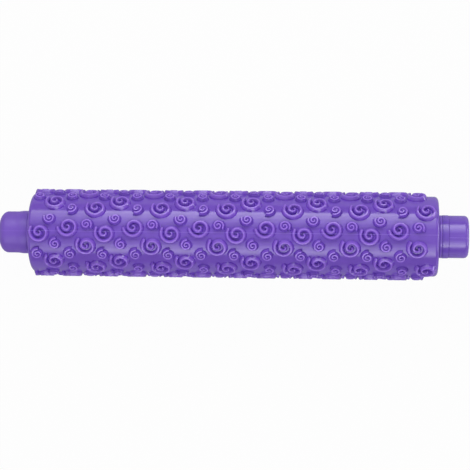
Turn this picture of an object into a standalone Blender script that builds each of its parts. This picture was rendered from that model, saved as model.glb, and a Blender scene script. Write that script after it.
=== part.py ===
# Embossed rolling pin. The barrel turns on a rod that carries the two knobs.
# Metres. X runs along the axis from the left knob to the right one, Z is up.
# The origin is on the axis, midway between the ends of the knobs.

import math

import bmesh
import bpy
from mathutils import Vector
from mathutils.geometry import delaunay_2d_cdt

# Barrel
barrel_length = 0.2173
ground_radius = 0.0213
relief_height = 0.0022
barrel_wall = 0.0024
rim_rounding = 0.0022

# Pattern of scrolls: tiles in a row along the barrel, and tiles round it
tile_length = 0.03488
tiles_around = 4
scroll_radius = 0.00557
scroll_eye = 0.00038
scroll_lean = 0.00066
scroll_ridge_width = 0.0021
scroll_turns = 1.77
small_scroll_radius = 0.00298
small_scroll_eye = 0.00028
small_ridge_width = 0.0012
small_scroll_turns = 1.5
tail_taper = 0.0007

# Knobs
left_knob_reach = 0.0180
right_knob_reach = 0.0161
knob_foot_radius = 0.0115
knob_foot_width = 0.0030
knob_foot_blend = 0.0034
knob_foot_step = 0.00035
knob_dome_depth = 0.0045
knob_dome_width = 0.00595
collar_width = 0.0034
collar_step = 0.0002
cap_corner = 0.0023
spigot_shoulder = 0.0033
spigot_depth = 0.0020
rod_grip = 0.0095

# Running parts
rod_radius = 0.0040
rod_chamfer = 0.0005
washer_thickness = 0.0010
washer_inset = 0.0001
boss_rise = 0.0005
hub_plate = 0.0026
hub_rim_depth = 0.0090
hub_rim_wall = 0.0018
hub_boss_radius = 0.0090
hub_boss_depth = 0.0120
hub_rib_thickness = 0.0016
hub_rib_count = 6
bush_wall = 0.0016
bush_flange_radius = 0.0078
bush_flange_thickness = 0.0012

# Clearances
seat_gap = 0.0003
running_gap = 0.0003

# Facets
rim_facets = 36
knob_facets = 24
hub_facets = 24
bush_facets = 16
rod_facets = 16
scroll_steps = 9
small_scroll_steps = 6
corner_steps = 5
crease_degrees = 35.0

# Places in the tile: share of its length from the barrel's middle, share of its height from
# the top line, and the direction of the tail in degrees from +X towards +Y.
scroll_place_shares = (
    (0.076, 0.009, 138.0),
    (0.505, 0.094, 178.0),
    (0.791, -0.186, 130.0),
    (0.292, 0.544, 134.0),
    (0.924, 0.411, 140.0),
)
small_scroll_place_shares = (
    (0.235, 0.222, 150.0),
    (0.801, 0.127, -43.0),
    (0.325, -0.168, 77.0),
    (0.046, -0.333, 76.0),
    (0.547, -0.333, 76.0),
    (0.558, 0.394, 236.0),
)
# A foot never reaches further towards the eye than this share of its distance from it.
foot_share = 0.60
# Depth of each line of the rim's rounding, from the end face, as a share of its radius.
rim_line_shares = (0.0, 0.30, 1.0)
# Points closer than this share of the rod's radius are one point.
merge_share = 0.0001
# Digits that tell the places of two points in the pattern apart.
place_digits = 5

relief_radius = ground_radius + relief_height
tile_angle = 2 * math.pi / tiles_around
bore_radius = ground_radius - barrel_wall
end_play = boss_rise + running_gap + washer_thickness + running_gap
overall_length = left_knob_reach + barrel_length + right_knob_reach
left_tip = -overall_length / 2
right_tip = overall_length / 2
barrel_left = left_tip + left_knob_reach
barrel_right = right_tip - right_knob_reach
barrel_middle = (barrel_left + barrel_right) / 2
knob_radius = knob_foot_radius - knob_foot_step
knob_flat_radius = knob_radius - knob_dome_width
cap_radius = knob_foot_radius - collar_step
spigot_radius = cap_radius - spigot_shoulder
washer_radius = knob_foot_radius - washer_inset
bush_bore = rod_radius + running_gap
bush_radius = bush_bore + bush_wall
knob_bore = rod_radius + seat_gap
row_height = relief_radius * tile_angle
merge_distance = rod_radius * merge_share

purple = (0.165, 0.075, 0.480, 1.0)
natural = (0.780, 0.760, 0.700, 1.0)
steel = (0.560, 0.570, 0.580, 1.0)


def clear_scene():
    for thing in list(bpy.data.objects):
        bpy.data.objects.remove(thing, do_unlink=True)


def make_material(name, colour, roughness, metallic):
    material = bpy.data.materials.new(name)
    material.use_nodes = True
    shader = material.node_tree.nodes["Principled BSDF"]
    shader.inputs["Base Color"].default_value = colour
    shader.inputs["Roughness"].default_value = roughness
    shader.inputs["Metallic"].default_value = metallic
    return material


def place_piece(name, bm, material, parent, along):
    bmesh.ops.recalc_face_normals(bm, faces=bm.faces)
    mesh = bpy.data.meshes.new(name)
    bm.to_mesh(mesh)
    bm.free()
    mesh.materials.append(material)
    mesh.shade_smooth()
    mesh.set_sharp_from_angle(angle=math.radians(crease_degrees))
    piece = bpy.data.objects.new(name, mesh)
    bpy.context.collection.objects.link(piece)
    piece.parent = parent
    piece.location = (along, 0.0, 0.0)
    return piece


def make_axis(name):
    axis = bpy.data.objects.new(name, None)
    bpy.context.collection.objects.link(axis)
    return axis


# Turned pieces: a profile of (distance along X, radius) points, spun about X.
def turn_profile(profile, facets, closed):
    bm = bmesh.new()
    points = [bm.verts.new((along, 0.0, radius)) for along, radius in profile]
    pairs = list(zip(points, points[1:]))
    if closed:
        pairs.append((points[-1], points[0]))
    edges = [bm.edges.new(pair) for pair in pairs]
    bmesh.ops.spin(
        bm,
        geom=points + edges,
        cent=(0.0, 0.0, 0.0),
        axis=(1.0, 0.0, 0.0),
        angle=2 * math.pi,
        steps=facets,
        use_merge=True,
    )
    bmesh.ops.remove_doubles(bm, verts=bm.verts, dist=merge_distance)
    bmesh.ops.dissolve_degenerate(bm, dist=merge_distance, edges=bm.edges)
    return bm


def arc_points(centre, radii, start, end, steps):
    # Points on an ellipse about centre, from start to end in degrees, 0 along X and 90 outward.
    points = []
    for step in range(steps + 1):
        angle = math.radians(start + (end - start) * step / steps)
        along = centre[0] + radii[0] * math.cos(angle)
        points.append((along, centre[1] + radii[1] * math.sin(angle)))
    return points


# The relief: one flat sheet of crest and foot lines, lifted and wrapped round the barrel.
def ground_at(along):
    # Radius of the bare barrel at a place along it, with its rounded rims.
    depth = barrel_length / 2 - abs(along)
    if depth >= rim_rounding:
        return ground_radius
    fall = rim_rounding - max(depth, 0.0)
    return ground_radius - rim_rounding + math.sqrt(rim_rounding**2 - fall**2)


def scroll_lines(centre, tail, form):
    # Crest, outer foot and inner foot of one ridge that winds in to its eye.
    radius, eye, lean, width, turns, steps = form
    start = math.radians(tail)
    sweep = 2 * math.pi * turns
    crest, outer, inner = [], [], []
    for step in range(steps + 1):
        inward = step / steps
        reach = eye + (radius - eye) * (1 - inward)
        angle = start + sweep * inward
        shift = lean * (1 - inward)
        middle = Vector(centre) - shift * Vector((math.cos(start), math.sin(start)))
        ray = Vector((math.cos(angle), math.sin(angle)))
        half = min(width / 2, reach * foot_share)
        crest.append(middle + reach * ray)
        outer.append(middle + (reach + half) * ray)
        inner.append(middle + (reach - half) * ray)
    # The tail ends in a steep face whose foot lies a little past its crest.
    past = tail_taper * (crest[0] - crest[1]).normalized()
    outer[0] += past
    inner[0] += past
    return crest, outer, inner


def keep_on_barrel(point):
    # A foot that would pass the end face is trimmed just short of it.
    limit = barrel_length / 2 - rim_rounding * rim_line_shares[1] / 2
    return Vector((min(max(point.x, -limit), limit), point.y))


def tile_scrolls():
    # Every scroll of one row of tiles: its centre, its tail and its form.
    big = (scroll_radius, scroll_eye, scroll_lean, scroll_ridge_width, scroll_turns, scroll_steps)
    small = (
        small_scroll_radius,
        small_scroll_eye,
        0.0,
        small_ridge_width,
        small_scroll_turns,
        small_scroll_steps,
    )
    tile_reach = math.ceil(barrel_length / tile_length)
    scrolls = []
    for shares, form in ((scroll_place_shares, big), (small_scroll_place_shares, small)):
        for along_share, around_share, tail in shares:
            for tile in range(-tile_reach, tile_reach):
                along = (tile + along_share) * tile_length
                if abs(along) + form[0] <= barrel_length / 2:
                    scrolls.append(((along, around_share * row_height), tail, form))
    return scrolls


def relief_row():
    # The flat drawing of one row of tiles: its points, which of them are lifted, and its lines.
    points, lifted, lines = [], [], []

    def draw(chain, lift):
        first = len(points)
        points.extend(keep_on_barrel(point) for point in chain)
        lifted.extend([lift] * len(chain))
        return list(range(first, len(points)))

    for centre, tail, form in tile_scrolls():
        crest, outer, inner = scroll_lines(centre, tail, form)
        eye = draw(crest[-1:], False)
        top = draw(crest[:-1], True)
        outside = draw(outer[:-1], False)
        inside = draw(inner[:-2], False)
        lines += [top + eye, outside + eye, inside + eye, [outside[0], inside[0]]]
    row_facets = rim_facets // tiles_around
    for end in (-1, 1):
        for share in rim_line_shares:
            along = end * (barrel_length / 2 - share * rim_rounding)
            for facet in range(row_facets):
                points.append(Vector((along, row_height * (facet / row_facets - 0.5))))
                lifted.append(False)
    return points, lifted, lines


def build_relief(bm):
    # Triangles of the middle one of three rows, so that it meets its neighbours, all round.
    points, lifted, lines = relief_row()
    count = len(points)
    drawn, edges = [], []
    for row in range(3):
        drawn += [point + Vector((0.0, (row - 1) * row_height)) for point in points]
        for line in lines:
            numbers = [number + row * count for number in line]
            edges += zip(numbers, numbers[1:])
    places, _, faces, sources, _, _ = delaunay_2d_cdt(drawn, edges, [], 0, merge_distance)
    made = {}

    def corner(index, turn):
        place = places[index]
        lift = False
        if sources[index]:
            row, number = divmod(sources[index][0], count)
            lift = lifted[number]
            key = ((row - 1 + turn) % tiles_around, number)
        else:
            around = (place.y / row_height + turn) % tiles_around
            key = (round(place.x / tile_length, place_digits), round(around, place_digits))
        if key not in made:
            angle = (place.y / row_height + turn) * tile_angle
            radius = relief_radius if lift else ground_at(place.x)
            where = (place.x, radius * math.sin(angle), radius * math.cos(angle))
            made[key] = bm.verts.new(where)
        return made[key]

    for face in faces:
        middle = sum(places[i].y for i in face) / len(face)
        if -row_height / 2 <= middle < row_height / 2:
            for turn in range(tiles_around):
                corners = [corner(i, turn) for i in face]
                if len(set(corners)) == len(corners):
                    bm.faces.new(corners)


def build_barrel(material, parent):
    bm = bmesh.new()
    build_relief(bm)
    for end in (-1, 1):
        rim = [e for e in bm.edges if e.is_boundary and e.verts[0].co.x * end > 0]
        face = bmesh.ops.extrude_edge_only(bm, edges=rim)
        ring = [g for g in face["geom"] if isinstance(g, bmesh.types.BMVert)]
        for vert in ring:
            scale = bore_radius / math.hypot(vert.co.y, vert.co.z)
            vert.co.y *= scale
            vert.co.z *= scale
    bore = [e for e in bm.edges if e.is_boundary]
    bmesh.ops.bridge_loops(bm, edges=bore)
    place_piece("embossed_barrel", bm, material, parent, barrel_middle)


def build_hub(name, material, parent, along, facing):
    # A ribbed disc in the barrel's open end. facing is -1 at the left end and 1 at the right.
    outer = bore_radius - seat_gap
    seat = bush_radius + seat_gap
    flange_seat = bush_flange_radius + seat_gap
    recess = bush_flange_thickness + seat_gap
    rim_inner = outer - hub_rim_wall
    raised = hub_boss_radius + hub_rim_wall
    profile = [
        (boss_rise, raised),
        (0.0, raised + boss_rise),
        (0.0, outer),
        (-hub_rim_depth, outer),
        (-hub_rim_depth, rim_inner),
        (-hub_plate, rim_inner),
        (-hub_plate, hub_boss_radius),
        (-hub_boss_depth, hub_boss_radius),
        (-hub_boss_depth, seat),
        (boss_rise - recess, seat),
        (boss_rise - recess, flange_seat),
        (boss_rise, flange_seat),
    ]
    bm = turn_profile([(x * facing, r) for x, r in profile], hub_facets, True)
    hub = place_piece(name, bm, material, parent, along)
    add_ribs(hub, facing, rim_inner)
    return hub


def add_ribs(hub, facing, rim_inner):
    # Ribs between the boss and the rim, behind the plate, made one with the hub.
    ribs = bmesh.new()
    near = hub_boss_radius - hub_rim_wall / 2
    far = rim_inner + hub_rim_wall / 2
    back = -hub_rim_depth + hub_rim_wall
    front = -hub_plate / 2
    for rib in range(hub_rib_count):
        angle = 2 * math.pi * (rib + 0.5) / hub_rib_count
        out = Vector((0.0, math.sin(angle), math.cos(angle)))
        side = Vector((0.0, math.cos(angle), -math.sin(angle)))
        corners = []
        for x in (back, front):
            for r, s in ((near, -1), (near, 1), (far, 1), (far, -1)):
                place = out * r + side * (s * hub_rib_thickness / 2)
                corners.append(ribs.verts.new((x * facing, place.y, place.z)))
        ribs.faces.new(corners[:4])
        ribs.faces.new(corners[4:])
        for k in range(4):
            n = (k + 1) % 4
            ribs.faces.new((corners[k], corners[n], corners[n + 4], corners[k + 4]))
    bmesh.ops.recalc_face_normals(ribs, faces=ribs.faces)
    mesh = bpy.data.meshes.new(hub.name + "_ribs")
    ribs.to_mesh(mesh)
    ribs.free()
    guide = bpy.data.objects.new(hub.name + "_ribs", mesh)
    bpy.context.collection.objects.link(guide)
    guide.parent = hub.parent
    guide.location = hub.location
    guide.hide_render = True
    guide.display_type = "WIRE"
    union = hub.modifiers.new("ribs", "BOOLEAN")
    union.operation = "UNION"
    union.object = guide


def build_bush(name, material, parent, along, facing):
    profile = [
        (boss_rise, bush_flange_radius),
        (boss_rise - bush_flange_thickness, bush_flange_radius),
        (boss_rise - bush_flange_thickness, bush_radius),
        (-hub_boss_depth, bush_radius),
        (-hub_boss_depth, bush_bore),
        (boss_rise, bush_bore),
    ]
    bm = turn_profile([(x * facing, r) for x, r in profile], bush_facets, True)
    place_piece(name, bm, material, parent, along)


def build_washer(name, material, parent, along, facing):
    near = boss_rise + running_gap
    profile = [
        (near, knob_bore),
        (near, washer_radius),
        (near + washer_thickness, washer_radius),
        (near + washer_thickness, knob_bore),
    ]
    bm = turn_profile([(x * facing, r) for x, r in profile], knob_facets, True)
    place_piece(name, bm, material, parent, along)


def build_left_knob(material, parent):
    # Distances run outwards from the barrel's end, then turn to face -X.
    foot = end_play + knob_foot_width
    dome = arc_points(
        (left_knob_reach - knob_dome_depth, knob_flat_radius),
        (knob_dome_depth, knob_radius - knob_flat_radius),
        90,
        0,
        corner_steps,
    )
    profile = [(end_play, knob_bore), (end_play, knob_foot_radius), (foot, knob_foot_radius)]
    blend_middle = foot + knob_foot_blend / 2
    profile.append((blend_middle, (knob_foot_radius + knob_radius) / 2))
    profile.append((foot + knob_foot_blend, knob_radius))
    profile += dome
    profile.append((left_knob_reach, 0.0))
    profile.append((end_play + rod_grip, 0.0))
    profile.append((end_play + rod_grip, knob_bore))
    bm = turn_profile([(-x, r) for x, r in profile], knob_facets, True)
    place_piece("left_knob", bm, material, parent, barrel_left)


def build_right_collar(material, parent):
    outer_face = end_play + collar_width
    seat = spigot_radius + seat_gap
    floor = outer_face - spigot_depth - seat_gap
    profile = [
        (end_play, knob_bore),
        (end_play, knob_foot_radius),
        (outer_face, knob_foot_radius),
        (outer_face, seat),
        (floor, seat),
        (floor, knob_bore),
    ]
    bm = turn_profile(profile, knob_facets, True)
    place_piece("right_collar", bm, material, parent, barrel_right)


def build_right_knob(material, parent):
    seam = end_play + collar_width
    inner_face = seam + seat_gap
    corner = arc_points(
        (right_knob_reach - cap_corner, cap_radius - cap_corner),
        (cap_corner, cap_corner),
        90,
        0,
        corner_steps,
    )
    profile = [
        (seam - spigot_depth, knob_bore),
        (seam - spigot_depth, spigot_radius),
        (inner_face, spigot_radius),
        (inner_face, cap_radius),
    ]
    profile += corner
    profile.append((right_knob_reach, 0.0))
    profile.append((end_play + rod_grip, 0.0))
    profile.append((end_play + rod_grip, knob_bore))
    bm = turn_profile(profile, knob_facets, True)
    place_piece("right_knob", bm, material, parent, barrel_right)


def build_rod(material, parent):
    half = barrel_length / 2 + end_play + rod_grip - seat_gap
    profile = [
        (-half, 0.0),
        (-half, rod_radius - rod_chamfer),
        (rod_chamfer - half, rod_radius),
        (half - rod_chamfer, rod_radius),
        (half, rod_radius - rod_chamfer),
        (half, 0.0),
    ]
    bm = turn_profile(profile, rod_facets, False)
    place_piece("axle_rod", bm, material, parent, barrel_middle)


def build_pin():
    clear_scene()
    plastic = make_material("purple_plastic", purple, 0.32, 0.0)
    nylon = make_material("natural_nylon", natural, 0.45, 0.0)
    bright = make_material("bright_steel", steel, 0.25, 1.0)
    held = make_axis("spindle_axis")
    turning = make_axis("barrel_axis")
    build_barrel(plastic, turning)
    for side, along, facing in (("left", barrel_left, -1), ("right", barrel_right, 1)):
        build_hub(side + "_hub", plastic, turning, along, facing)
        build_bush(side + "_bush", nylon, turning, along, facing)
        build_washer(side + "_washer", plastic, held, along, facing)
    build_rod(bright, held)
    build_left_knob(plastic, held)
    build_right_collar(plastic, held)
    build_right_knob(plastic, held)


build_pin()
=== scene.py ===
import math

import bpy
from mathutils import Matrix, Vector


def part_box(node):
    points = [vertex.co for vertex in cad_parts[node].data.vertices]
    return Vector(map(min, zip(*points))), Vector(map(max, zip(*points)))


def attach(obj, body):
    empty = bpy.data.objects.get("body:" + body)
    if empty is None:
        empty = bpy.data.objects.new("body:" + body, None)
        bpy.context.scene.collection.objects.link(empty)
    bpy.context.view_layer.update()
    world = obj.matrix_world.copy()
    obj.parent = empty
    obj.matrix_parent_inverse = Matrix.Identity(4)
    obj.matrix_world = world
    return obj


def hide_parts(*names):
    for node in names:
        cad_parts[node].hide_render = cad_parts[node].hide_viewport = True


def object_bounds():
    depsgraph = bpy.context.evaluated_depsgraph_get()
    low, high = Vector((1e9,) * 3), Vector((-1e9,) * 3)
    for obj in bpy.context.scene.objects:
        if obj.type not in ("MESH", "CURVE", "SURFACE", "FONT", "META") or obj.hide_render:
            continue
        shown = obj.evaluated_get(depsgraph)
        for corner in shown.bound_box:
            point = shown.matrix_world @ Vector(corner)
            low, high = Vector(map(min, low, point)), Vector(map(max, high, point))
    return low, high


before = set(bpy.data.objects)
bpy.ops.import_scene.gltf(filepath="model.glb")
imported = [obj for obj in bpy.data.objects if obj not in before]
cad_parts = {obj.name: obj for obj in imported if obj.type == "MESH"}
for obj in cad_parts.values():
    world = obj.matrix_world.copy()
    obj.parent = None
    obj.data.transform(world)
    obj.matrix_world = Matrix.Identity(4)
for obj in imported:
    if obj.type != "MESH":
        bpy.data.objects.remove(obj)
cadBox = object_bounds()
print("frame loaded")

# Everything is in metres, +X along the pin from the left knob to the right one, +Z up

barrelLow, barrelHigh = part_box("embossed_barrel")
barrelMiddle = (barrelLow.x + barrelHigh.x) / 2
barrelLength = barrelHigh.x - barrelLow.x
rodLow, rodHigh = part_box("axle_rod")
fitClearance = 0.0003  # between pieces that are pressed together or turn on one another
rodBore = rodHigh.z + fitClearance
mergeDistance = 0.000001
bevelAngle = math.radians(40)  # edges that turn by more than this are rounded
smoothAngle = math.radians(32)  # faces that meet at less than this are shaded as one


# Helpers

def deselectAll():
    bpy.ops.object.select_all(action="DESELECT")


def pickOnly(pieces):
    deselectAll()
    for piece in pieces:
        piece.select_set(True)
    bpy.context.view_layer.objects.active = pieces[0]


def openPiece(name):
    piece = bpy.context.object
    piece.name = name
    piece.data.name = name
    bpy.ops.object.mode_set(mode="EDIT")
    bpy.ops.mesh.select_mode(type="VERT")
    return piece


def turnOnAxis(name, profile, segments, sweep=2 * math.pi, closed=True):
    # one point, drawn out along the profile of (distance along X, radius), then spun about X
    deselectAll()
    bpy.ops.mesh.primitive_plane_add(size=mergeDistance)
    piece = openPiece(name)
    bpy.ops.mesh.merge(type="CENTER")
    bpy.ops.transform.translate(value=(profile[0][0], 0, profile[0][1]))
    outline = profile + profile[:1] if closed else profile
    for (x, radius), (nextX, nextRadius) in zip(outline, outline[1:]):
        step = (nextX - x, 0, nextRadius - radius)
        bpy.ops.mesh.extrude_vertices_move(TRANSFORM_OT_translate={"value": step})
    bpy.ops.mesh.select_all(action="SELECT")
    bpy.ops.mesh.remove_doubles(threshold=mergeDistance)
    bpy.ops.mesh.spin(steps=segments, angle=sweep, center=(0, 0, 0), axis=(1, 0, 0))
    bpy.ops.mesh.select_all(action="SELECT")
    bpy.ops.mesh.remove_doubles(threshold=mergeDistance)
    bpy.ops.mesh.normals_make_consistent(inside=False)
    bpy.ops.object.mode_set(mode="OBJECT")
    return piece


def arcPoints(centre, radii, start, end, steps):
    # points on an ellipse, angles in degrees, 0 along X and 90 outward
    points = []
    for step in range(steps + 1):
        angle = math.radians(start + (end - start) * step / steps)
        points.append((centre[0] + radii[0] * math.cos(angle), centre[1] + radii[1] * math.sin(angle)))
    return points


def roundEdges(piece, width, segments=3):
    pickOnly([piece])
    rounding = piece.modifiers.new("rounding", "BEVEL")
    rounding.width = width
    rounding.segments = segments
    rounding.limit_method = "ANGLE"
    rounding.angle_limit = bevelAngle
    bpy.ops.object.modifier_apply(modifier="rounding")


def finishPiece(piece, body, material, nodes=()):
    pickOnly([piece])
    bpy.ops.object.shade_smooth_by_angle(angle=smoothAngle)
    piece.data.materials.clear()
    piece.data.materials.append(material)
    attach(piece, body)
    if nodes:
        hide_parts(*nodes)
    return piece


# Materials

def addNode(tree, kind, place, **values):
    node = tree.nodes.new(kind)
    node.location = place
    for key, value in values.items():
        setattr(node, key, value)
    return node


def startGroup(name, inputs, outputs):
    tree = bpy.data.node_groups.new(name, "ShaderNodeTree")
    for label, kind, value in inputs:
        socket = tree.interface.new_socket(name=label, in_out="INPUT", socket_type=kind)
        socket.default_value = value
    for label, kind in outputs:
        tree.interface.new_socket(name=label, in_out="OUTPUT", socket_type=kind)
    return tree, addNode(tree, "NodeGroupInput", (-900, 0)), addNode(tree, "NodeGroupOutput", (700, 0))


meltLook = {
    "flow": (0.35, 1, 1),  # the melt flows along the pin, so its drift is drawn out that way
    "driftDetail": 4,
    "patchScale": 240,
    "patchLow": 0.3,
    "patchHigh": 0.7,
    "grainDetail": 2,
}


def makeMouldedGroup():
    # moulded plastic: slow colour drift from the flow of the melt, uneven gloss, fine grain
    inputs = (
        ("Colour", "NodeSocketColor", (0.5, 0.5, 0.5, 1)),
        ("Drift Colour", "NodeSocketColor", (0.5, 0.5, 0.5, 1)),
        ("Drift Scale", "NodeSocketFloat", 60.0),
        ("Gloss Low", "NodeSocketFloat", 0.25),
        ("Gloss High", "NodeSocketFloat", 0.35),
        ("Grain Scale", "NodeSocketFloat", 2500.0),
    )
    outputs = (
        ("Colour", "NodeSocketColor"),
        ("Roughness", "NodeSocketFloat"),
        ("Grain", "NodeSocketFloat"),
    )
    tree, given, result = startGroup("mouldedPlastic", inputs, outputs)
    place = addNode(tree, "ShaderNodeTexCoord", (-900, 300))
    stretch = addNode(tree, "ShaderNodeMapping", (-700, 300))
    stretch.inputs["Scale"].default_value = meltLook["flow"]
    drift = addNode(tree, "ShaderNodeTexNoise", (-450, 300))
    drift.inputs["Detail"].default_value = meltLook["driftDetail"]
    blend = addNode(tree, "ShaderNodeMix", (200, 200), data_type="RGBA")
    patches = addNode(tree, "ShaderNodeTexNoise", (-450, 0))
    patches.inputs["Scale"].default_value = meltLook["patchScale"]
    gloss = addNode(tree, "ShaderNodeMapRange", (200, 0))
    gloss.inputs["From Min"].default_value = meltLook["patchLow"]
    gloss.inputs["From Max"].default_value = meltLook["patchHigh"]
    grain = addNode(tree, "ShaderNodeTexNoise", (-450, -300))
    grain.inputs["Detail"].default_value = meltLook["grainDetail"]
    links = tree.links
    links.new(place.outputs["Object"], stretch.inputs["Vector"])
    links.new(stretch.outputs["Vector"], drift.inputs["Vector"])
    links.new(given.outputs["Drift Scale"], drift.inputs["Scale"])
    links.new(drift.outputs["Fac"], blend.inputs["Factor"])
    links.new(given.outputs["Colour"], blend.inputs["A"])
    links.new(given.outputs["Drift Colour"], blend.inputs["B"])
    links.new(place.outputs["Object"], patches.inputs["Vector"])
    links.new(patches.outputs["Fac"], gloss.inputs["Value"])
    links.new(given.outputs["Gloss Low"], gloss.inputs["To Min"])
    links.new(given.outputs["Gloss High"], gloss.inputs["To Max"])
    links.new(place.outputs["Object"], grain.inputs["Vector"])
    links.new(given.outputs["Grain Scale"], grain.inputs["Scale"])
    links.new(blend.outputs["Result"], result.inputs["Colour"])
    links.new(gloss.outputs["Result"], result.inputs["Roughness"])
    links.new(grain.outputs["Fac"], result.inputs["Grain"])
    return tree


def makeReliefGroup():
    # how far a point stands above the bare barrel, 0 on it and 1 on the crests
    inputs = (
        ("Ground Radius", "NodeSocketFloat", 0.02),
        ("Crest Radius", "NodeSocketFloat", 0.022),
    )
    tree, given, result = startGroup("reliefHeight", inputs, (("Height", "NodeSocketFloat"),))
    place = addNode(tree, "ShaderNodeTexCoord", (-900, 300))
    flatten = addNode(tree, "ShaderNodeVectorMath", (-600, 300), operation="MULTIPLY")
    flatten.inputs[1].default_value = (0, 1, 1)  # leaves out the place along the pin
    reach = addNode(tree, "ShaderNodeVectorMath", (-300, 300), operation="LENGTH")
    share = addNode(tree, "ShaderNodeMapRange", (200, 200))
    links = tree.links
    links.new(place.outputs["Object"], flatten.inputs[0])
    links.new(flatten.outputs["Vector"], reach.inputs[0])
    links.new(reach.outputs["Value"], share.inputs["Value"])
    links.new(given.outputs["Ground Radius"], share.inputs["From Min"])
    links.new(given.outputs["Crest Radius"], share.inputs["From Max"])
    links.new(share.outputs["Result"], result.inputs["Height"])
    return tree


partingFade = 0.4  # share of the line's half width over which its edge fades


def makePartingGroup():
    # the thin line where the mould's halves met, in a plane through the axis: Across is its normal
    inputs = (
        ("Across", "NodeSocketVector", (0, 1, 0)),
        ("Half Width", "NodeSocketFloat", 0.00015),
    )
    tree, given, result = startGroup("partingLine", inputs, (("Mask", "NodeSocketFloat"),))
    place = addNode(tree, "ShaderNodeTexCoord", (-900, 300))
    side = addNode(tree, "ShaderNodeVectorMath", (-600, 300), operation="DOT_PRODUCT")
    away = addNode(tree, "ShaderNodeMath", (-300, 300), operation="ABSOLUTE")
    share = addNode(tree, "ShaderNodeMath", (0, 300), operation="DIVIDE")
    mask = addNode(tree, "ShaderNodeMapRange", (300, 300), interpolation_type="SMOOTHSTEP")
    mask.inputs["From Min"].default_value = 1 - partingFade
    mask.inputs["From Max"].default_value = 1 + partingFade
    mask.inputs["To Min"].default_value = 1
    mask.inputs["To Max"].default_value = 0
    links = tree.links
    links.new(place.outputs["Object"], side.inputs[0])
    links.new(given.outputs["Across"], side.inputs[1])
    links.new(side.outputs["Value"], away.inputs[0])
    links.new(away.outputs["Value"], share.inputs[0])
    links.new(given.outputs["Half Width"], share.inputs[1])
    links.new(share.outputs["Value"], mask.inputs["Value"])
    links.new(mask.outputs["Result"], result.inputs["Mask"])
    return tree


def startMaterial(name):
    material = bpy.data.materials.new(name)
    material.use_nodes = True
    tree = material.node_tree
    shader = tree.nodes["Principled BSDF"]
    return material, tree, shader


# how far the parting lines are turned about X, from the top of the pin towards +Y
seamAngles = {
    "barrel": math.radians(2.2),
    "leftKnob": math.radians(3.0),
    "rightKnob": math.radians(-2.5),
}

plastic = {
    "colour": (0.161, 0.0745, 0.482, 1),
    "driftColour": (0.181, 0.0865, 0.517, 1),
    "driftScale": 70,
    "glossLow": 0.11,
    "glossHigh": 0.16,
    "grainScale": 2600,
    "grainDepth": 0.000006,
    "ior": 1.5,
    "footRoughness": 0.14,
    "footShare": 0.2,
    "crestShare": 0.9,
    # lighter colour of the parting line over the ridges: a painted highlight standing in for the glint on
    # the flash
    "lineColour": (0.33, 0.21, 0.74, 1),
    "lineHalfWidth": 0.00014,
}


def makePlastic(name, look, moulded):
    material, tree, shader = startMaterial(name)
    body = addNode(tree, "ShaderNodeGroup", (-700, 0), node_tree=moulded)
    body.inputs["Colour"].default_value = look["colour"]
    body.inputs["Drift Colour"].default_value = look["driftColour"]
    body.inputs["Drift Scale"].default_value = look["driftScale"]
    body.inputs["Gloss Low"].default_value = look["glossLow"]
    body.inputs["Gloss High"].default_value = look["glossHigh"]
    body.inputs["Grain Scale"].default_value = look["grainScale"]
    bump = addNode(tree, "ShaderNodeBump", (-300, -300))
    bump.inputs["Distance"].default_value = look["grainDepth"]
    shader.inputs["IOR"].default_value = look["ior"]
    tree.links.new(body.outputs["Colour"], shader.inputs["Base Color"])
    tree.links.new(body.outputs["Roughness"], shader.inputs["Roughness"])
    tree.links.new(body.outputs["Grain"], bump.inputs["Height"])
    tree.links.new(bump.outputs["Normal"], shader.inputs["Normal"])
    return material, tree, shader, body


def makeReliefPlastic(name, look, moulded, relief, parting, radii, paintedLightTones):
    # the plastic of the ridges, with painted shade where they leave the barrel and in their channels, and
    # a painted highlight on their crests
    material, tree, shader, body = makePlastic(name, look, moulded)
    height = addNode(tree, "ShaderNodeGroup", (-700, 400), node_tree=relief)
    height.inputs["Ground Radius"].default_value = radii[0]
    height.inputs["Crest Radius"].default_value = radii[1]
    ramp = addNode(tree, "ShaderNodeValToRGB", (-450, 400))
    steps = ramp.color_ramp.elements
    while len(steps) < len(paintedLightTones):
        steps.new(0.5)
    for step, (share, tone) in zip(steps, paintedLightTones):
        step.position = share
        step.color = (*tone, 1)
    # multiplies the plastic's colour by the painted shade and painted highlight read from the relief's
    # height
    paintedLightTint = addNode(tree, "ShaderNodeMix", (-150, 300), data_type="RGBA", blend_type="MULTIPLY")
    paintedLightTint.inputs["Factor"].default_value = 1
    line = addNode(tree, "ShaderNodeGroup", (-700, 650), node_tree=parting)
    turn = seamAngles["barrel"]
    line.inputs["Across"].default_value = (0, math.cos(turn), -math.sin(turn))
    line.inputs["Half Width"].default_value = look["lineHalfWidth"]
    # paints the lighter parting line over the ridges: a painted highlight
    drawn = addNode(tree, "ShaderNodeMix", (50, 400), data_type="RGBA")
    drawn.inputs["B"].default_value = look["lineColour"]
    dull = addNode(tree, "ShaderNodeMapRange", (-450, 100))
    dull.inputs["From Min"].default_value = look["footShare"]
    dull.inputs["From Max"].default_value = look["crestShare"]
    dull.inputs["To Min"].default_value = look["footRoughness"]
    dull.inputs["To Max"].default_value = look["glossLow"]
    rough = addNode(tree, "ShaderNodeMath", (-150, 50), operation="MAXIMUM")
    links = tree.links
    links.new(height.outputs["Height"], ramp.inputs["Fac"])
    links.new(body.outputs["Colour"], paintedLightTint.inputs["A"])
    links.new(ramp.outputs["Color"], paintedLightTint.inputs["B"])
    links.new(line.outputs["Mask"], drawn.inputs["Factor"])
    links.new(paintedLightTint.outputs["Result"], drawn.inputs["A"])
    links.new(drawn.outputs["Result"], shader.inputs["Base Color"])
    links.new(height.outputs["Height"], dull.inputs["Value"])
    links.new(dull.outputs["Result"], rough.inputs[0])
    links.new(body.outputs["Roughness"], rough.inputs[1])
    links.new(rough.outputs["Value"], shader.inputs["Roughness"])
    return material


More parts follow.
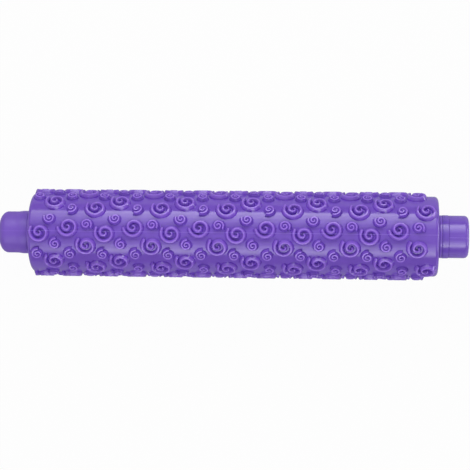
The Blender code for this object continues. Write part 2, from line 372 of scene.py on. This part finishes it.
def makeNylon(moulded):
    look = dict(
        plastic,
        colour=(0.74, 0.72, 0.66, 1),
        driftColour=(0.80, 0.78, 0.73, 1),
        glossLow=0.4,
        glossHigh=0.5,
    )
    return makePlastic("naturalNylon", look, moulded)[0]


steelLook = {
    "colour": (0.56, 0.57, 0.58, 1),
    "lineColour": (0.48, 0.49, 0.50, 1),
    "lineStretch": (0.02, 1, 1),
    "lineScale": 900,
    "lineDepth": 0.000004,
    "roughLow": 0.18,
    "roughHigh": 0.34,
}


def makeDrawnSteel(look):
    # bright rod with the fine lines of the die along it
    material, tree, shader = startMaterial("drawnSteel")
    place = addNode(tree, "ShaderNodeTexCoord", (-1100, 0))
    draw = addNode(tree, "ShaderNodeMapping", (-900, 0))
    draw.inputs["Scale"].default_value = look["lineStretch"]
    lines = addNode(tree, "ShaderNodeTexNoise", (-700, 0))
    lines.inputs["Scale"].default_value = look["lineScale"]
    rough = addNode(tree, "ShaderNodeMapRange", (-400, -100))
    rough.inputs["To Min"].default_value = look["roughLow"]
    rough.inputs["To Max"].default_value = look["roughHigh"]
    bump = addNode(tree, "ShaderNodeBump", (-300, -350))
    bump.inputs["Distance"].default_value = look["lineDepth"]
    shade = addNode(tree, "ShaderNodeMix", (-300, 200), data_type="RGBA")
    shade.inputs["A"].default_value = look["colour"]
    shade.inputs["B"].default_value = look["lineColour"]
    shader.inputs["Metallic"].default_value = 1
    links = tree.links
    links.new(place.outputs["Object"], draw.inputs["Vector"])
    links.new(draw.outputs["Vector"], lines.inputs["Vector"])
    links.new(lines.outputs["Fac"], rough.inputs["Value"])
    links.new(lines.outputs["Fac"], bump.inputs["Height"])
    links.new(lines.outputs["Fac"], shade.inputs["Factor"])
    links.new(shade.outputs["Result"], shader.inputs["Base Color"])
    links.new(rough.outputs["Result"], shader.inputs["Roughness"])
    links.new(bump.outputs["Normal"], shader.inputs["Normal"])
    return material


barrel = {
    "groundRadius": 0.0213,
    "reliefHeight": 0.0022,
    "wall": 0.0024,
    "rimRounding": 0.0022,
    "rimSteps": 8,
    "ridgeKeepShare": 1 / 12,  # of the rounding: how near a ridge may come to the barrel's ends
    "segments": 180,
    "tileLength": 0.03488,
    "tilesAround": 4,
}
crestRadius = barrel["groundRadius"] + barrel["reliefHeight"]
# share of the relief's height, and what multiplies the plastic's colour there: painted shade at the
# ridges' feet and in their channels, painted highlight on their crests
bigRidgeShadeAndHighlight = (
    (0.00, (1.0, 1.0, 1.0)),
    (0.05, (0.94, 0.78, 1.00)),
    (0.08, (0.94, 0.76, 1.00)),
    (0.15, (0.72, 0.36, 0.98)),
    (0.22, (1.02, 0.88, 1.08)),
    (0.45, (1.30, 1.30, 1.16)),
    (0.80, (1.34, 1.36, 1.20)),
    (0.90, (1.40, 1.45, 1.24)),
    (1.00, (1.62, 1.74, 1.34)),
)
# the same for the small scrolls: painted shade at their feet and in their channels, painted highlight on
# their crests
smallRidgeShadeAndHighlight = (
    (0.00, (1.0, 1.0, 1.0)),
    (0.04, (0.69, 0.46, 0.87)),
    (0.11, (0.69, 0.46, 0.87)),
    (0.28, (1.00, 0.90, 1.05)),
    (0.48, (1.16, 1.13, 1.11)),
    (0.60, (1.04, 0.94, 1.05)),
    (0.73, (0.96, 0.78, 1.03)),
    (0.82, (0.96, 0.78, 1.03)),
    (0.89, (1.22, 1.20, 1.16)),
    (0.96, (1.52, 1.62, 1.31)),
    (1.00, (1.70, 1.84, 1.38)),
)

mouldedGroup = makeMouldedGroup()
reliefGroup = makeReliefGroup()
partingGroup = makePartingGroup()
barrelPlastic = makePlastic("barrelPlastic", plastic, mouldedGroup)[0]
ridgeRadii = (barrel["groundRadius"], crestRadius)
bigRidgePlastic = makeReliefPlastic(
    "bigRidgePlastic",
    plastic,
    mouldedGroup,
    reliefGroup,
    partingGroup,
    ridgeRadii,
    bigRidgeShadeAndHighlight,
)
smallRidgePlastic = makeReliefPlastic(
    "smallRidgePlastic",
    dict(plastic, footRoughness=0.70),
    mouldedGroup,
    reliefGroup,
    partingGroup,
    ridgeRadii,
    smallRidgeShadeAndHighlight,
)
# the flash is given a lighter colour than the barrel's plastic: a painted highlight along the parting
# lines
seamHighlightPlastic = makePlastic(
    "seamHighlightPlastic",
    dict(plastic, colour=(0.24, 0.13, 0.60, 1), driftColour=(0.27, 0.15, 0.64, 1)),
    mouldedGroup,
)[0]
knobPlastic = makePlastic(
    "knobPlastic",
    dict(
        plastic,
        colour=(0.160, 0.0745, 0.486, 1),
        driftColour=(0.180, 0.0875, 0.521, 1),
        driftScale=110,
        glossLow=0.18,
        glossHigh=0.24,
        ior=1.58,
    ),
    mouldedGroup,
)[0]
gripPlastic = makePlastic(
    "gripPlastic",
    dict(plastic, driftScale=110, glossLow=0.40, glossHigh=0.50),
    mouldedGroup,
)[0]
# lighter than the barrel's plastic: painted light against the shade in the narrow gap beside the barrel's
# end
washerLightenedPlastic = makePlastic(
    "washerLightenedPlastic",
    dict(plastic, colour=(0.255, 0.135, 0.635, 1), driftColour=(0.275, 0.145, 0.665, 1)),
    mouldedGroup,
)[0]
# lighter than the barrel's plastic: painted light against the shade in the narrow gap beside the barrel's
# end
hubLightenedPlastic = makePlastic(
    "hubLightenedPlastic",
    dict(
        plastic,
        colour=(0.235, 0.125, 0.600, 1),
        driftColour=(0.250, 0.135, 0.620, 1),
        glossLow=0.32,
        glossHigh=0.42,
        driftScale=90,
    ),
    mouldedGroup,
)[0]
nylon = makeNylon(mouldedGroup)
steel = makeDrawnSteel(steelLook)
print("materials made")


# Barrel: a hollow roller with rounded rims

def groundAt(x):
    # radius of the bare barrel at a place along it, counted from its middle
    depth = max(barrelLength / 2 - abs(x), 0)
    if depth >= barrel["rimRounding"]:
        return barrel["groundRadius"]
    fall = barrel["rimRounding"] - depth
    return barrel["groundRadius"] - barrel["rimRounding"] + math.sqrt(barrel["rimRounding"] ** 2 - fall**2)


def barrelOutside(proud=0.0):
    # the outside of the barrel, from rim to rim
    rounding = barrel["rimRounding"] + proud
    shoulder = barrel["groundRadius"] - barrel["rimRounding"]
    leftCentre = (barrelLow.x + barrel["rimRounding"], shoulder)
    rightCentre = (barrelHigh.x - barrel["rimRounding"], shoulder)
    left = arcPoints(leftCentre, (rounding, rounding), 180, 90, barrel["rimSteps"])
    right = arcPoints(rightCentre, (rounding, rounding), 90, 0, barrel["rimSteps"])
    return left + right


def makeShell():
    bore = barrel["groundRadius"] - barrel["wall"]
    profile = [(barrelLow.x, bore)] + barrelOutside() + [(barrelHigh.x, bore)]
    return turnOnAxis("barrelShell", profile, barrel["segments"])


shell = makeShell()
finishPiece(shell, "barrel", barrelPlastic)
print("barrel shell made")


# Scroll ridges: each scroll is modelled flat once, copied over the tiles and bent round the barrel

bigScroll = {
    "radius": 0.00557,
    "eye": 0.00038,
    "lean": 0.00066,
    "footHalf": 0.00140,
    "noseLength": 0.00060,
    "eyeWidthShare": 0.62,
    "filledEye": False,
    "steps": 38,
    # across the ridge from its inner foot to its outer one: share of the half width, of the height
    "sectionShares": (
        (-1.78, -0.02), (-1.75, 0.05), (-0.86, 0.06), (-0.62, 0.46), (-0.46, 0.80), (-0.28, 0.965),
        (0.0, 1.0),
        (0.28, 0.94), (0.48, 0.77), (0.72, 0.46), (0.94, 0.16), (1.04, 0.04), (1.14, -0.02),
    ),
}
smallScroll = {
    "radius": 0.00298,
    "eye": 0.00020,
    "lean": 0.0,
    "footHalf": 0.00090,
    "noseLength": 0.00024,
    "eyeWidthShare": 0.70,
    "filledEye": True,
    "steps": 30,
    "sectionShares": (
        (-1.78, -0.02), (-1.75, 0.58), (-0.86, 0.70), (-0.62, 0.84), (-0.38, 0.97),
        (0.0, 1.0),
        (0.38, 0.97), (0.62, 0.78), (0.86, 0.40), (1.04, 0.14), (1.30, 0.06), (1.75, -0.02),
    ),
}
winding = {
    "noseShares": (0.06, 0.30, 0.65),  # rings in the rounded ends
    "fullWidthAt": 1.2,  # in half widths of the foot, counted outwards from the eye
    "leastShare": 0.1,  # of the eye: no point of a ridge comes nearer to its middle
}
# places in a tile: share of its length, share of its way round, tail in degrees, turns
bigPlaceShares = (
    (0.076, 0.009, 138, 1.77),
    (0.505, 0.094, 178, 1.77),
    (0.791, -0.186, 130, 1.77),
    (0.292, 0.544, 134, 1.77),
    (0.924, 0.411, 140, 1.77),
)
smallPlaceShares = (
    (0.235, 0.222, 150, 1.80),
    (0.801, 0.127, -43, 1.80),
    (0.325, -0.168, 77, 1.80),
    (0.046, -0.333, 76, 1.80),
    (0.547, -0.333, 76, 1.80),
    (0.558, 0.394, 236, 1.60),
)


def stationShares(form, length):
    # places of the rings along a ridge, closer together in its two rounded ends
    nose = form["noseLength"] / length
    near = [nose * share for share in winding["noseShares"]]
    even = form["steps"] - 2 * len(near)
    middle = [nose + (1 - 2 * nose) * step / even for step in range(even + 1)]
    return near + middle + [1 - share for share in reversed(near)]


def ridgePoint(form, turns, length, share, across, lift):
    # one point of the ridge in the flat, its tail towards +X and its crest running in to the eye
    reach = form["eye"] + (form["radius"] - form["eye"]) * (1 - share)
    angle = 2 * math.pi * turns * share
    shift = form["lean"] * (1 - share)
    inside = 1 - min(min(share, 1 - share) * length / form["noseLength"], 1)
    filled = form["filledEye"] and across < 0 and share > 0.5
    nose = 1 if filled else math.sqrt(1 - inside**2)
    grown = min((reach - form["eye"]) / (form["footHalf"] * winding["fullWidthAt"]), 1)
    width = form["footHalf"] * (form["eyeWidthShare"] + (1 - form["eyeWidthShare"]) * grown)
    out = max(reach + across * width * nose, form["eye"] * winding["leastShare"])
    height = barrel["reliefHeight"] * (lift * math.sqrt(nose) if lift > 0 else lift)
    return Vector((out * math.cos(angle) - shift, out * math.sin(angle), height))


def makeRidge(name, form, turns):
    # a bar of as many sides as the section has points, cut into rings and wound up
    around = len(form["sectionShares"])
    deselectAll()
    bpy.ops.mesh.primitive_cylinder_add(vertices=around, radius=1, depth=2, rotation=(0, math.pi / 2, 0))
    bpy.ops.object.transform_apply(location=True, rotation=True, scale=True)
    bar = openPiece(name)
    bpy.ops.mesh.select_mode(type="EDGE")
    bpy.ops.mesh.select_all(action="DESELECT")
    bpy.ops.object.mode_set(mode="OBJECT")
    for edge in bar.data.edges:
        start, end = (bar.data.vertices[number].co for number in edge.vertices)
        edge.select = abs(start.x - end.x) > 1
    bpy.ops.object.mode_set(mode="EDIT")
    bpy.ops.mesh.subdivide(number_cuts=form["steps"] - 1)
    bpy.ops.object.mode_set(mode="OBJECT")
    length = math.pi * turns * (form["radius"] + form["eye"])
    shares = stationShares(form, length)
    for vertex in bar.data.vertices:
        ring = round((vertex.co.x + 1) / 2 * form["steps"])
        side = round(math.atan2(vertex.co.y, vertex.co.z) / (2 * math.pi) * around) % around
        across, lift = form["sectionShares"][side]
        vertex.co = ridgePoint(form, turns, length, shares[ring], across, lift)
    return bar


def bendRound(mesh, along, around, tail, turn):
    # lays a flat ridge on the barrel: its x runs along the pin and its y round it
    mesh.transform(Matrix.Translation((along, around, 0)) @ Matrix.Rotation(math.radians(tail), 4, "Z"))
    limit = barrelLength / 2 - barrel["rimRounding"] * barrel["ridgeKeepShare"]
    for vertex in mesh.vertices:
        x = min(max(vertex.co.x, -limit), limit)
        lift = vertex.co.z / barrel["reliefHeight"]
        radius = groundAt(x) + max(lift, 0) * (crestRadius - groundAt(x)) + min(vertex.co.z, 0)
        angle = vertex.co.y / crestRadius + turn
        vertex.co = (x + barrelMiddle, radius * math.sin(angle), radius * math.cos(angle))


def layScrolls(name, form, placeShares):
    tileAngle = 2 * math.pi / barrel["tilesAround"]
    reach = math.ceil(barrelLength / barrel["tileLength"])
    copies = []
    windings = {shares[-1] for shares in placeShares}
    masters = {turns: makeRidge(name + "Master", form, turns) for turns in windings}
    for alongShare, aroundShare, tail, turns in placeShares:
        for tile in range(-reach, reach):
            along = (tile + alongShare) * barrel["tileLength"]
            if abs(along) + form["radius"] > barrelLength / 2:
                continue
            for row in range(barrel["tilesAround"]):
                scroll = masters[turns].copy()
                scroll.data = masters[turns].data.copy()
                bpy.context.collection.objects.link(scroll)
                bendRound(scroll.data, along, aroundShare * tileAngle * crestRadius, tail, row * tileAngle)
                copies.append(scroll)
    for master in masters.values():
        bpy.data.objects.remove(master)
    pickOnly(copies)
    bpy.ops.object.join()
    ridges = openPiece(name)
    bpy.ops.mesh.select_all(action="SELECT")
    bpy.ops.mesh.normals_make_consistent(inside=False)
    bpy.ops.object.mode_set(mode="OBJECT")
    print(name, len(copies), "scrolls")
    return ridges


bigScrolls = layScrolls("bigScrolls", bigScroll, bigPlaceShares)
finishPiece(bigScrolls, "barrel", bigRidgePlastic, ["embossed_barrel"])
smallScrolls = layScrolls("smallScrolls", smallScroll, smallPlaceShares)
finishPiece(smallScrolls, "barrel", smallRidgePlastic)


# Knobs, collar, washers, hubs, bushes and rod: turned pieces

knobs = {
    "segments": 96,
    "dome": 0.0045,
    "domeWidth": 0.00595,
    "domeSteps": 14,
    "footWidth": 0.0030,
    "blend": 0.0034,
    "blendSteps": 6,
    "footStep": 0.00035,
    "capStep": 0.0002,
    "capCorner": 0.0023,
    "cornerSteps": 12,
    "capShoulder": 0.0033,
    "spigotDepth": 0.0020,
    "edge": 0.00018,
    "collarEdge": 0.00027,
    "joint": 0.00006,
}


def leftKnobProfile(proud=0.0):
    # the outside of the left knob, from its foot to its tip
    low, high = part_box("left_knob")
    foot = high.z + proud
    grip = high.z - knobs["footStep"] + proud
    blendEnd = high.x - knobs["footWidth"] - knobs["blend"]
    flat = grip - knobs["domeWidth"]
    blend = []
    for step in range(knobs["blendSteps"] + 1):
        share = step / knobs["blendSteps"]
        ease = share * share * (3 - 2 * share)
        blend.append((high.x - knobs["footWidth"] - knobs["blend"] * share, foot + (grip - foot) * ease))
    radii = (-knobs["dome"] - proud, knobs["domeWidth"])
    dome = arcPoints((low.x + knobs["dome"], flat), radii, 90, 0, knobs["domeSteps"])
    return [(high.x, foot)] + blend + [(blendEnd - knobs["blend"] / 2, grip)] + dome + [(low.x - proud, 0)]


def makeLeftKnob():
    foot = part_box("left_knob")[1].x
    depth = rodLow.x - fitClearance
    profile = [(foot, rodBore)] + leftKnobProfile() + [(depth, 0), (depth, rodBore)]
    return turnOnAxis("leftKnob", profile, knobs["segments"])


leftKnob = makeLeftKnob()
roundEdges(leftKnob, knobs["edge"])
finishPiece(leftKnob, "spindle", gripPlastic, ["left_knob"])


def rightKnobProfile(proud=0.0):
    # the outside of the right knob, from its joint with the collar to its flat end
    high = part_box("right_knob")[1]
    outer = high.z + proud
    corner = knobs["capCorner"]
    centre = (high.x - corner, outer - corner)
    rounded = arcPoints(centre, (corner + proud, corner), 90, 0, knobs["cornerSteps"])
    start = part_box("right_collar")[1].x + knobs["joint"]
    return [(start, outer)] + rounded + [(high.x + proud, 0)]


def makeRightKnob():
    # a cap whose spigot sits in the collar
    low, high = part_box("right_knob")
    depth = rodHigh.x + fitClearance
    spigot = high.z - knobs["capShoulder"]
    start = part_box("right_collar")[1].x + knobs["joint"]
    profile = [(low.x, rodBore), (low.x, spigot), (start, spigot)] + rightKnobProfile()
    profile += [(depth, 0), (depth, rodBore)]
    return turnOnAxis("rightKnob", profile, knobs["segments"])


rightKnob = makeRightKnob()
roundEdges(rightKnob, knobs["edge"])
finishPiece(rightKnob, "spindle", knobPlastic, ["right_knob"])


def makeRightCollar():
    low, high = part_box("right_collar")
    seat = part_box("right_knob")[1].z - knobs["capShoulder"] + fitClearance
    floor = high.x - knobs["spigotDepth"] - fitClearance
    profile = [
        (low.x, rodBore),
        (low.x, high.z),
        (high.x, high.z),
        (high.x, seat),
        (floor, seat),
        (floor, rodBore),
    ]
    return turnOnAxis("rightCollar", profile, knobs["segments"])


rightCollar = makeRightCollar()
roundEdges(rightCollar, knobs["collarEdge"])
finishPiece(rightCollar, "spindle", knobPlastic, ["right_collar"])


def makeWasher(node, name, left, right):
    # thrust washer, its joint with the knob or collar beside it nearly closed
    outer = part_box(node)[1].z
    profile = [(left, rodBore), (left, outer), (right, outer), (right, rodBore)]
    washer = turnOnAxis(name, profile, knobs["segments"])
    roundEdges(washer, knobs["edge"])
    return finishPiece(washer, "spindle", washerLightenedPlastic, [node])


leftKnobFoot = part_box("left_knob")[1].x + knobs["joint"]
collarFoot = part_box("right_collar")[0].x - knobs["joint"]
makeWasher("left_washer", "leftWasher", leftKnobFoot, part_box("left_washer")[1].x)
makeWasher("right_washer", "rightWasher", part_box("right_washer")[0].x, collarFoot)

# places along the axis count from the barrel's end face: plus is out of the barrel
bush = {
    "rise": 0.0005,
    "wall": 0.0016,
    "flangeRadius": 0.0078,
    "flangeThickness": 0.0012,
    "segments": 64,
    "edge": 0.00015,
    "edgeSteps": 2,
}
hub = {
    "plate": 0.0026,
    "rimDepth": 0.0090,
    "rimWall": 0.0018,
    "bossRadius": 0.0090,
    "bossDepth": 0.0120,
    "lipRise": 0.00072,
    "lipRadius": 0.0113,
    "ribThickness": 0.0016,
    "ribs": 6,
    "ribEdge": 0.00015,
    "segments": 120,
    "edge": 0.0003,
    "edgeSteps": 2,
}


def makeHub(side, face, facing):
    # a disc with a skirt, a boss for the bush with a lip that comes close to the washer, and ribs
    outer = barrel["groundRadius"] - barrel["wall"] - fitClearance
    seat = rodBore + bush["wall"] + fitClearance
    flange = bush["flangeRadius"] + fitClearance
    recess = bush["rise"] - bush["flangeThickness"] - fitClearance
    skirt = outer - hub["rimWall"]
    outline = [
        (hub["lipRise"], hub["lipRadius"]),
        (0, hub["lipRadius"]),
        (0, outer),
        (-hub["rimDepth"], outer),
        (-hub["rimDepth"], skirt),
        (-hub["plate"], skirt),
        (-hub["plate"], hub["bossRadius"]),
        (-hub["bossDepth"], hub["bossRadius"]),
        (-hub["bossDepth"], seat),
        (recess, seat),
        (recess, flange),
        (hub["lipRise"], flange),
    ]
    disc = turnOnAxis(side + "Hub", [(face + x * facing, r) for x, r in outline], hub["segments"])
    roundEdges(disc, hub["edge"], hub["edgeSteps"])
    near = hub["bossRadius"] - hub["rimWall"] / 2
    far = skirt + hub["rimWall"] / 2
    depth = hub["rimDepth"] - hub["rimWall"] - hub["plate"] / 2
    middle = face - facing * (hub["plate"] / 2 + depth / 2)
    ribs = []
    for rib in range(hub["ribs"]):
        deselectAll()
        bpy.ops.mesh.primitive_cube_add(size=1, location=(0, 0, (near + far) / 2))
        blade = bpy.context.object
        blade.scale = (depth, hub["ribThickness"], far - near)
        bpy.ops.object.transform_apply(location=True, rotation=True, scale=True)
        blade.data.transform(Matrix.Translation((middle, 0, 0)))
        blade.data.transform(Matrix.Rotation(2 * math.pi * (rib + 0.5) / hub["ribs"], 4, "X"))
        roundEdges(blade, hub["ribEdge"], hub["edgeSteps"])
        ribs.append(blade)
    pickOnly([disc] + ribs)
    bpy.ops.object.join()
    return finishPiece(disc, "barrel", hubLightenedPlastic, [side + "_hub"])


def makeBush(side, face, facing):
    # a flanged sleeve, as deep as the hub's boss
    sleeve = rodBore + bush["wall"]
    inner = bush["rise"] - bush["flangeThickness"]
    outline = [
        (bush["rise"], bush["flangeRadius"]),
        (inner, bush["flangeRadius"]),
        (inner, sleeve),
        (-hub["bossDepth"], sleeve),
        (-hub["bossDepth"], rodBore),
        (bush["rise"], rodBore),
    ]
    turned = turnOnAxis(side + "Bush", [(face + x * facing, r) for x, r in outline], bush["segments"])
    roundEdges(turned, bush["edge"], bush["edgeSteps"])
    return finishPiece(turned, "barrel", nylon, [side + "_bush"])


for side, face, facing in (("left", barrelLow.x, -1), ("right", barrelHigh.x, 1)):
    makeHub(side, face, facing)
    makeBush(side, face, facing)


rod = {"chamfer": 0.0005, "segments": 48}


def makeRod():
    chamfer = rod["chamfer"]
    profile = [
        (rodLow.x, 0),
        (rodLow.x, rodHigh.z - chamfer),
        (rodLow.x + chamfer, rodHigh.z),
        (rodHigh.x - chamfer, rodHigh.z),
        (rodHigh.x, rodHigh.z - chamfer),
        (rodHigh.x, 0),
    ]
    turned = turnOnAxis("axleRod", profile, rod["segments"], closed=False)
    return finishPiece(turned, "spindle", steel, ["axle_rod"])


makeRod()
print("knobs, hubs, bushes and rod made")


# Parting lines: the thin flash where the halves of the mould met, on two opposite sides

seam = {
    "proud": 0.00005,
    "thickness": 0.0002,
    "width": 0.00028,
    "segments": 2,
}


def makeSeam(name, profile, radius, angle, body):
    sweep = seam["width"] / radius
    lines = []
    for side in (0, math.pi):
        strip = turnOnAxis(name, profile, seam["segments"], sweep=sweep, closed=False)
        solid = strip.modifiers.new("thickness", "SOLIDIFY")
        solid.thickness = seam["thickness"]
        solid.offset = -1
        bpy.ops.object.modifier_apply(modifier="thickness")
        # a point at angle a lies at (radius * sin a, radius * cos a) in Y and Z
        strip.data.transform(Matrix.Rotation(side - angle + sweep / 2, 4, "X"))
        lines.append(strip)
    pickOnly(lines)
    bpy.ops.object.join()
    bpy.context.object.name = name
    return finishPiece(bpy.context.object, body, seamHighlightPlastic)


makeSeam(
    "barrelSeam",
    barrelOutside(seam["proud"]),
    barrel["groundRadius"],
    seamAngles["barrel"],
    "barrel",
)
makeSeam(
    "leftKnobSeam",
    leftKnobProfile(seam["proud"])[:-1],
    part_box("left_knob")[1].z,
    seamAngles["leftKnob"],
    "spindle",
)
makeSeam(
    "rightKnobSeam",
    rightKnobProfile(seam["proud"])[:-1],
    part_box("right_knob")[1].z,
    seamAngles["rightKnob"],
    "spindle",
)
print("parting lines made")


# Floor, lights and camera

stageLook = {
    "floorSize": 3.0,
    "floorDrop": 0.0002,
    "floorColour": (0.48, 0.48, 0.49, 1),
    "floorRoughness": 0.8,
    "whiteShare": 0.97,
    "mirroredShare": 0.12,
    "ambientColour": (0.97, 0.98, 1, 1),
    "ambientStrength": 0.16,
    "backdropColour": (0.97, 0.97, 0.97, 1),
}


def makeFloor():
    deselectAll()
    place = (0, 0, cadBox[0].z - stageLook["floorDrop"])
    bpy.ops.mesh.primitive_plane_add(size=stageLook["floorSize"], location=place)
    bpy.ops.object.transform_apply(location=True, rotation=True, scale=True)
    floor = bpy.context.object
    floor.name = "floor"
    material, tree, shader = startMaterial("paleFloor")
    shader.inputs["Base Color"].default_value = stageLook["floorColour"]
    shader.inputs["Roughness"].default_value = stageLook["floorRoughness"]
    glow = addNode(tree, "ShaderNodeEmission", (0, -300))
    path = addNode(tree, "ShaderNodeLightPath", (-600, 500))
    seen = addNode(tree, "ShaderNodeMath", (-400, 400), operation="MAXIMUM")
    share = addNode(tree, "ShaderNodeMath", (-200, 400), operation="MULTIPLY")
    share.inputs[1].default_value = stageLook["whiteShare"]
    mirrored = addNode(tree, "ShaderNodeMath", (-200, 200), operation="MULTIPLY")
    mirrored.inputs[1].default_value = stageLook["mirroredShare"]
    either = addNode(tree, "ShaderNodeMath", (0, 400), operation="MAXIMUM")
    mix = addNode(tree, "ShaderNodeMixShader", (300, 100))
    output = tree.nodes["Material Output"]
    links = tree.links
    links.new(path.outputs["Is Camera Ray"], seen.inputs[0])
    links.new(path.outputs["Is Transmission Ray"], seen.inputs[1])
    links.new(seen.outputs["Value"], share.inputs[0])
    links.new(path.outputs["Is Glossy Ray"], mirrored.inputs[0])
    links.new(share.outputs["Value"], either.inputs[0])
    links.new(mirrored.outputs["Value"], either.inputs[1])
    links.new(either.outputs["Value"], mix.inputs["Fac"])
    links.new(shader.outputs["BSDF"], mix.inputs[1])
    links.new(glow.outputs["Emission"], mix.inputs[2])
    links.new(mix.outputs["Shader"], output.inputs["Surface"])
    floor.data.materials.append(material)


makeFloor()

# light boxes on both sides of the camera, in strips that brighten outwards up to a dimmer edge, and
# a dim one in front: each strip has its inner and outer edge in degrees off the view straight down
# and its brightness, and each part along the pin has its ends and its share of that brightness
softBoxes = {
    "distance": 0.60,
    "parts": ((-0.48, -0.20, 0.62), (-0.20, 0.35, 1.0)),
    "upperStrips": (
        (22, 34, 1.1), (34, 46, 2.2), (46, 58, 3.6), (58, 64, 5.0), (64, 66, 5.4), (66, 68, 2.4),
    ),
    "lowerStrips": ((20, 32, 1.1), (32, 44, 2.6), (44, 52, 4.1), (52, 57, 3.4), (57, 61, 1.8)),
    "frontStrips": ((-16, 16, 0.4),),
}


def makeSoftBox(name, side, strips):
    distance = softBoxes["distance"]
    for number, (inner, outer, brightness) in enumerate(strips):
        angle = math.radians((inner + outer) / 2) * side
        width = 2 * distance * math.tan(math.radians(outer - inner) / 2)
        for start, end, share in softBoxes["parts"]:
            middle = (start + end) / 2
            place = Vector((middle, distance * math.sin(angle), distance * math.cos(angle)))
            deselectAll()
            bpy.ops.object.light_add(type="AREA", location=place)
            strip = bpy.context.object
            strip.name = name + str(number)
            strip.rotation_euler = (Vector((middle, 0, 0)) - place).to_track_quat("-Z", "Y").to_euler()
            strip.data.shape = "RECTANGLE"
            strip.data.size = end - start  # its local X lies along the pin
            strip.data.size_y = width
            strip.data.energy = share * brightness * math.pi * (end - start) * width


makeSoftBox("upperSoftBox", 1, softBoxes["upperStrips"])
makeSoftBox("lowerSoftBox", -1, softBoxes["lowerStrips"])
makeSoftBox("frontSoftBox", 1, softBoxes["frontStrips"])

# low panels beyond both ends, so that the end faces are lit as well
endPanels = {"distance": 0.70, "width": 0.6}


def makeEndPanel(name, facing, rise, height, brightness):
    deselectAll()
    bpy.ops.object.light_add(type="AREA", location=(facing * endPanels["distance"], 0, rise))
    panel = bpy.context.object
    panel.name = name
    panel.rotation_euler = (0, facing * math.pi / 2, 0)
    panel.data.shape = "RECTANGLE"
    panel.data.size = height
    panel.data.size_y = endPanels["width"]
    panel.data.energy = brightness * math.pi * height * endPanels["width"]


makeEndPanel("leftEndPanel", -1, rise=0.12, height=0.28, brightness=0.9)
# the reflection of this one draws the bright line on the barrel's rim
makeEndPanel("rightEndPanel", 1, rise=0.05, height=0.14, brightness=6.0)


def makeWorld():
    world = bpy.data.worlds.new("studio")
    bpy.context.scene.world = world
    world.use_nodes = True
    tree = world.node_tree
    ambient = tree.nodes["Background"]
    ambient.inputs["Color"].default_value = stageLook["ambientColour"]
    ambient.inputs["Strength"].default_value = stageLook["ambientStrength"]
    white = addNode(tree, "ShaderNodeBackground", (0, -200))
    white.inputs["Color"].default_value = stageLook["backdropColour"]
    path = addNode(tree, "ShaderNodeLightPath", (-300, 300))
    mix = addNode(tree, "ShaderNodeMixShader", (250, 100))
    tree.links.new(path.outputs["Is Camera Ray"], mix.inputs["Fac"])
    tree.links.new(ambient.outputs["Background"], mix.inputs[1])
    tree.links.new(white.outputs["Background"], mix.inputs[2])
    tree.links.new(mix.outputs["Shader"], tree.nodes["World Output"].inputs["Surface"])


makeWorld()

camera = {
    "place": (0.062789, -0.000309, 0.881823),
    "yaw": 3.980,
    "roll": 0.652,
    "lens": 126.04,
    "sensor": 36,
}


def makeCamera():
    # above the pin, turned a little towards its right end, which is the nearer one
    bpy.ops.object.camera_add(location=camera["place"])
    eye = bpy.context.object
    eye.rotation_mode = "ZYX"
    eye.rotation_euler = (0, math.radians(camera["yaw"]), math.radians(camera["roll"]))
    eye.data.lens = camera["lens"]
    eye.data.sensor_width = camera["sensor"]
    bpy.context.scene.camera = eye


makeCamera()
bpy.context.scene.view_settings.view_transform = "Standard"
print("floor, lights and camera made")
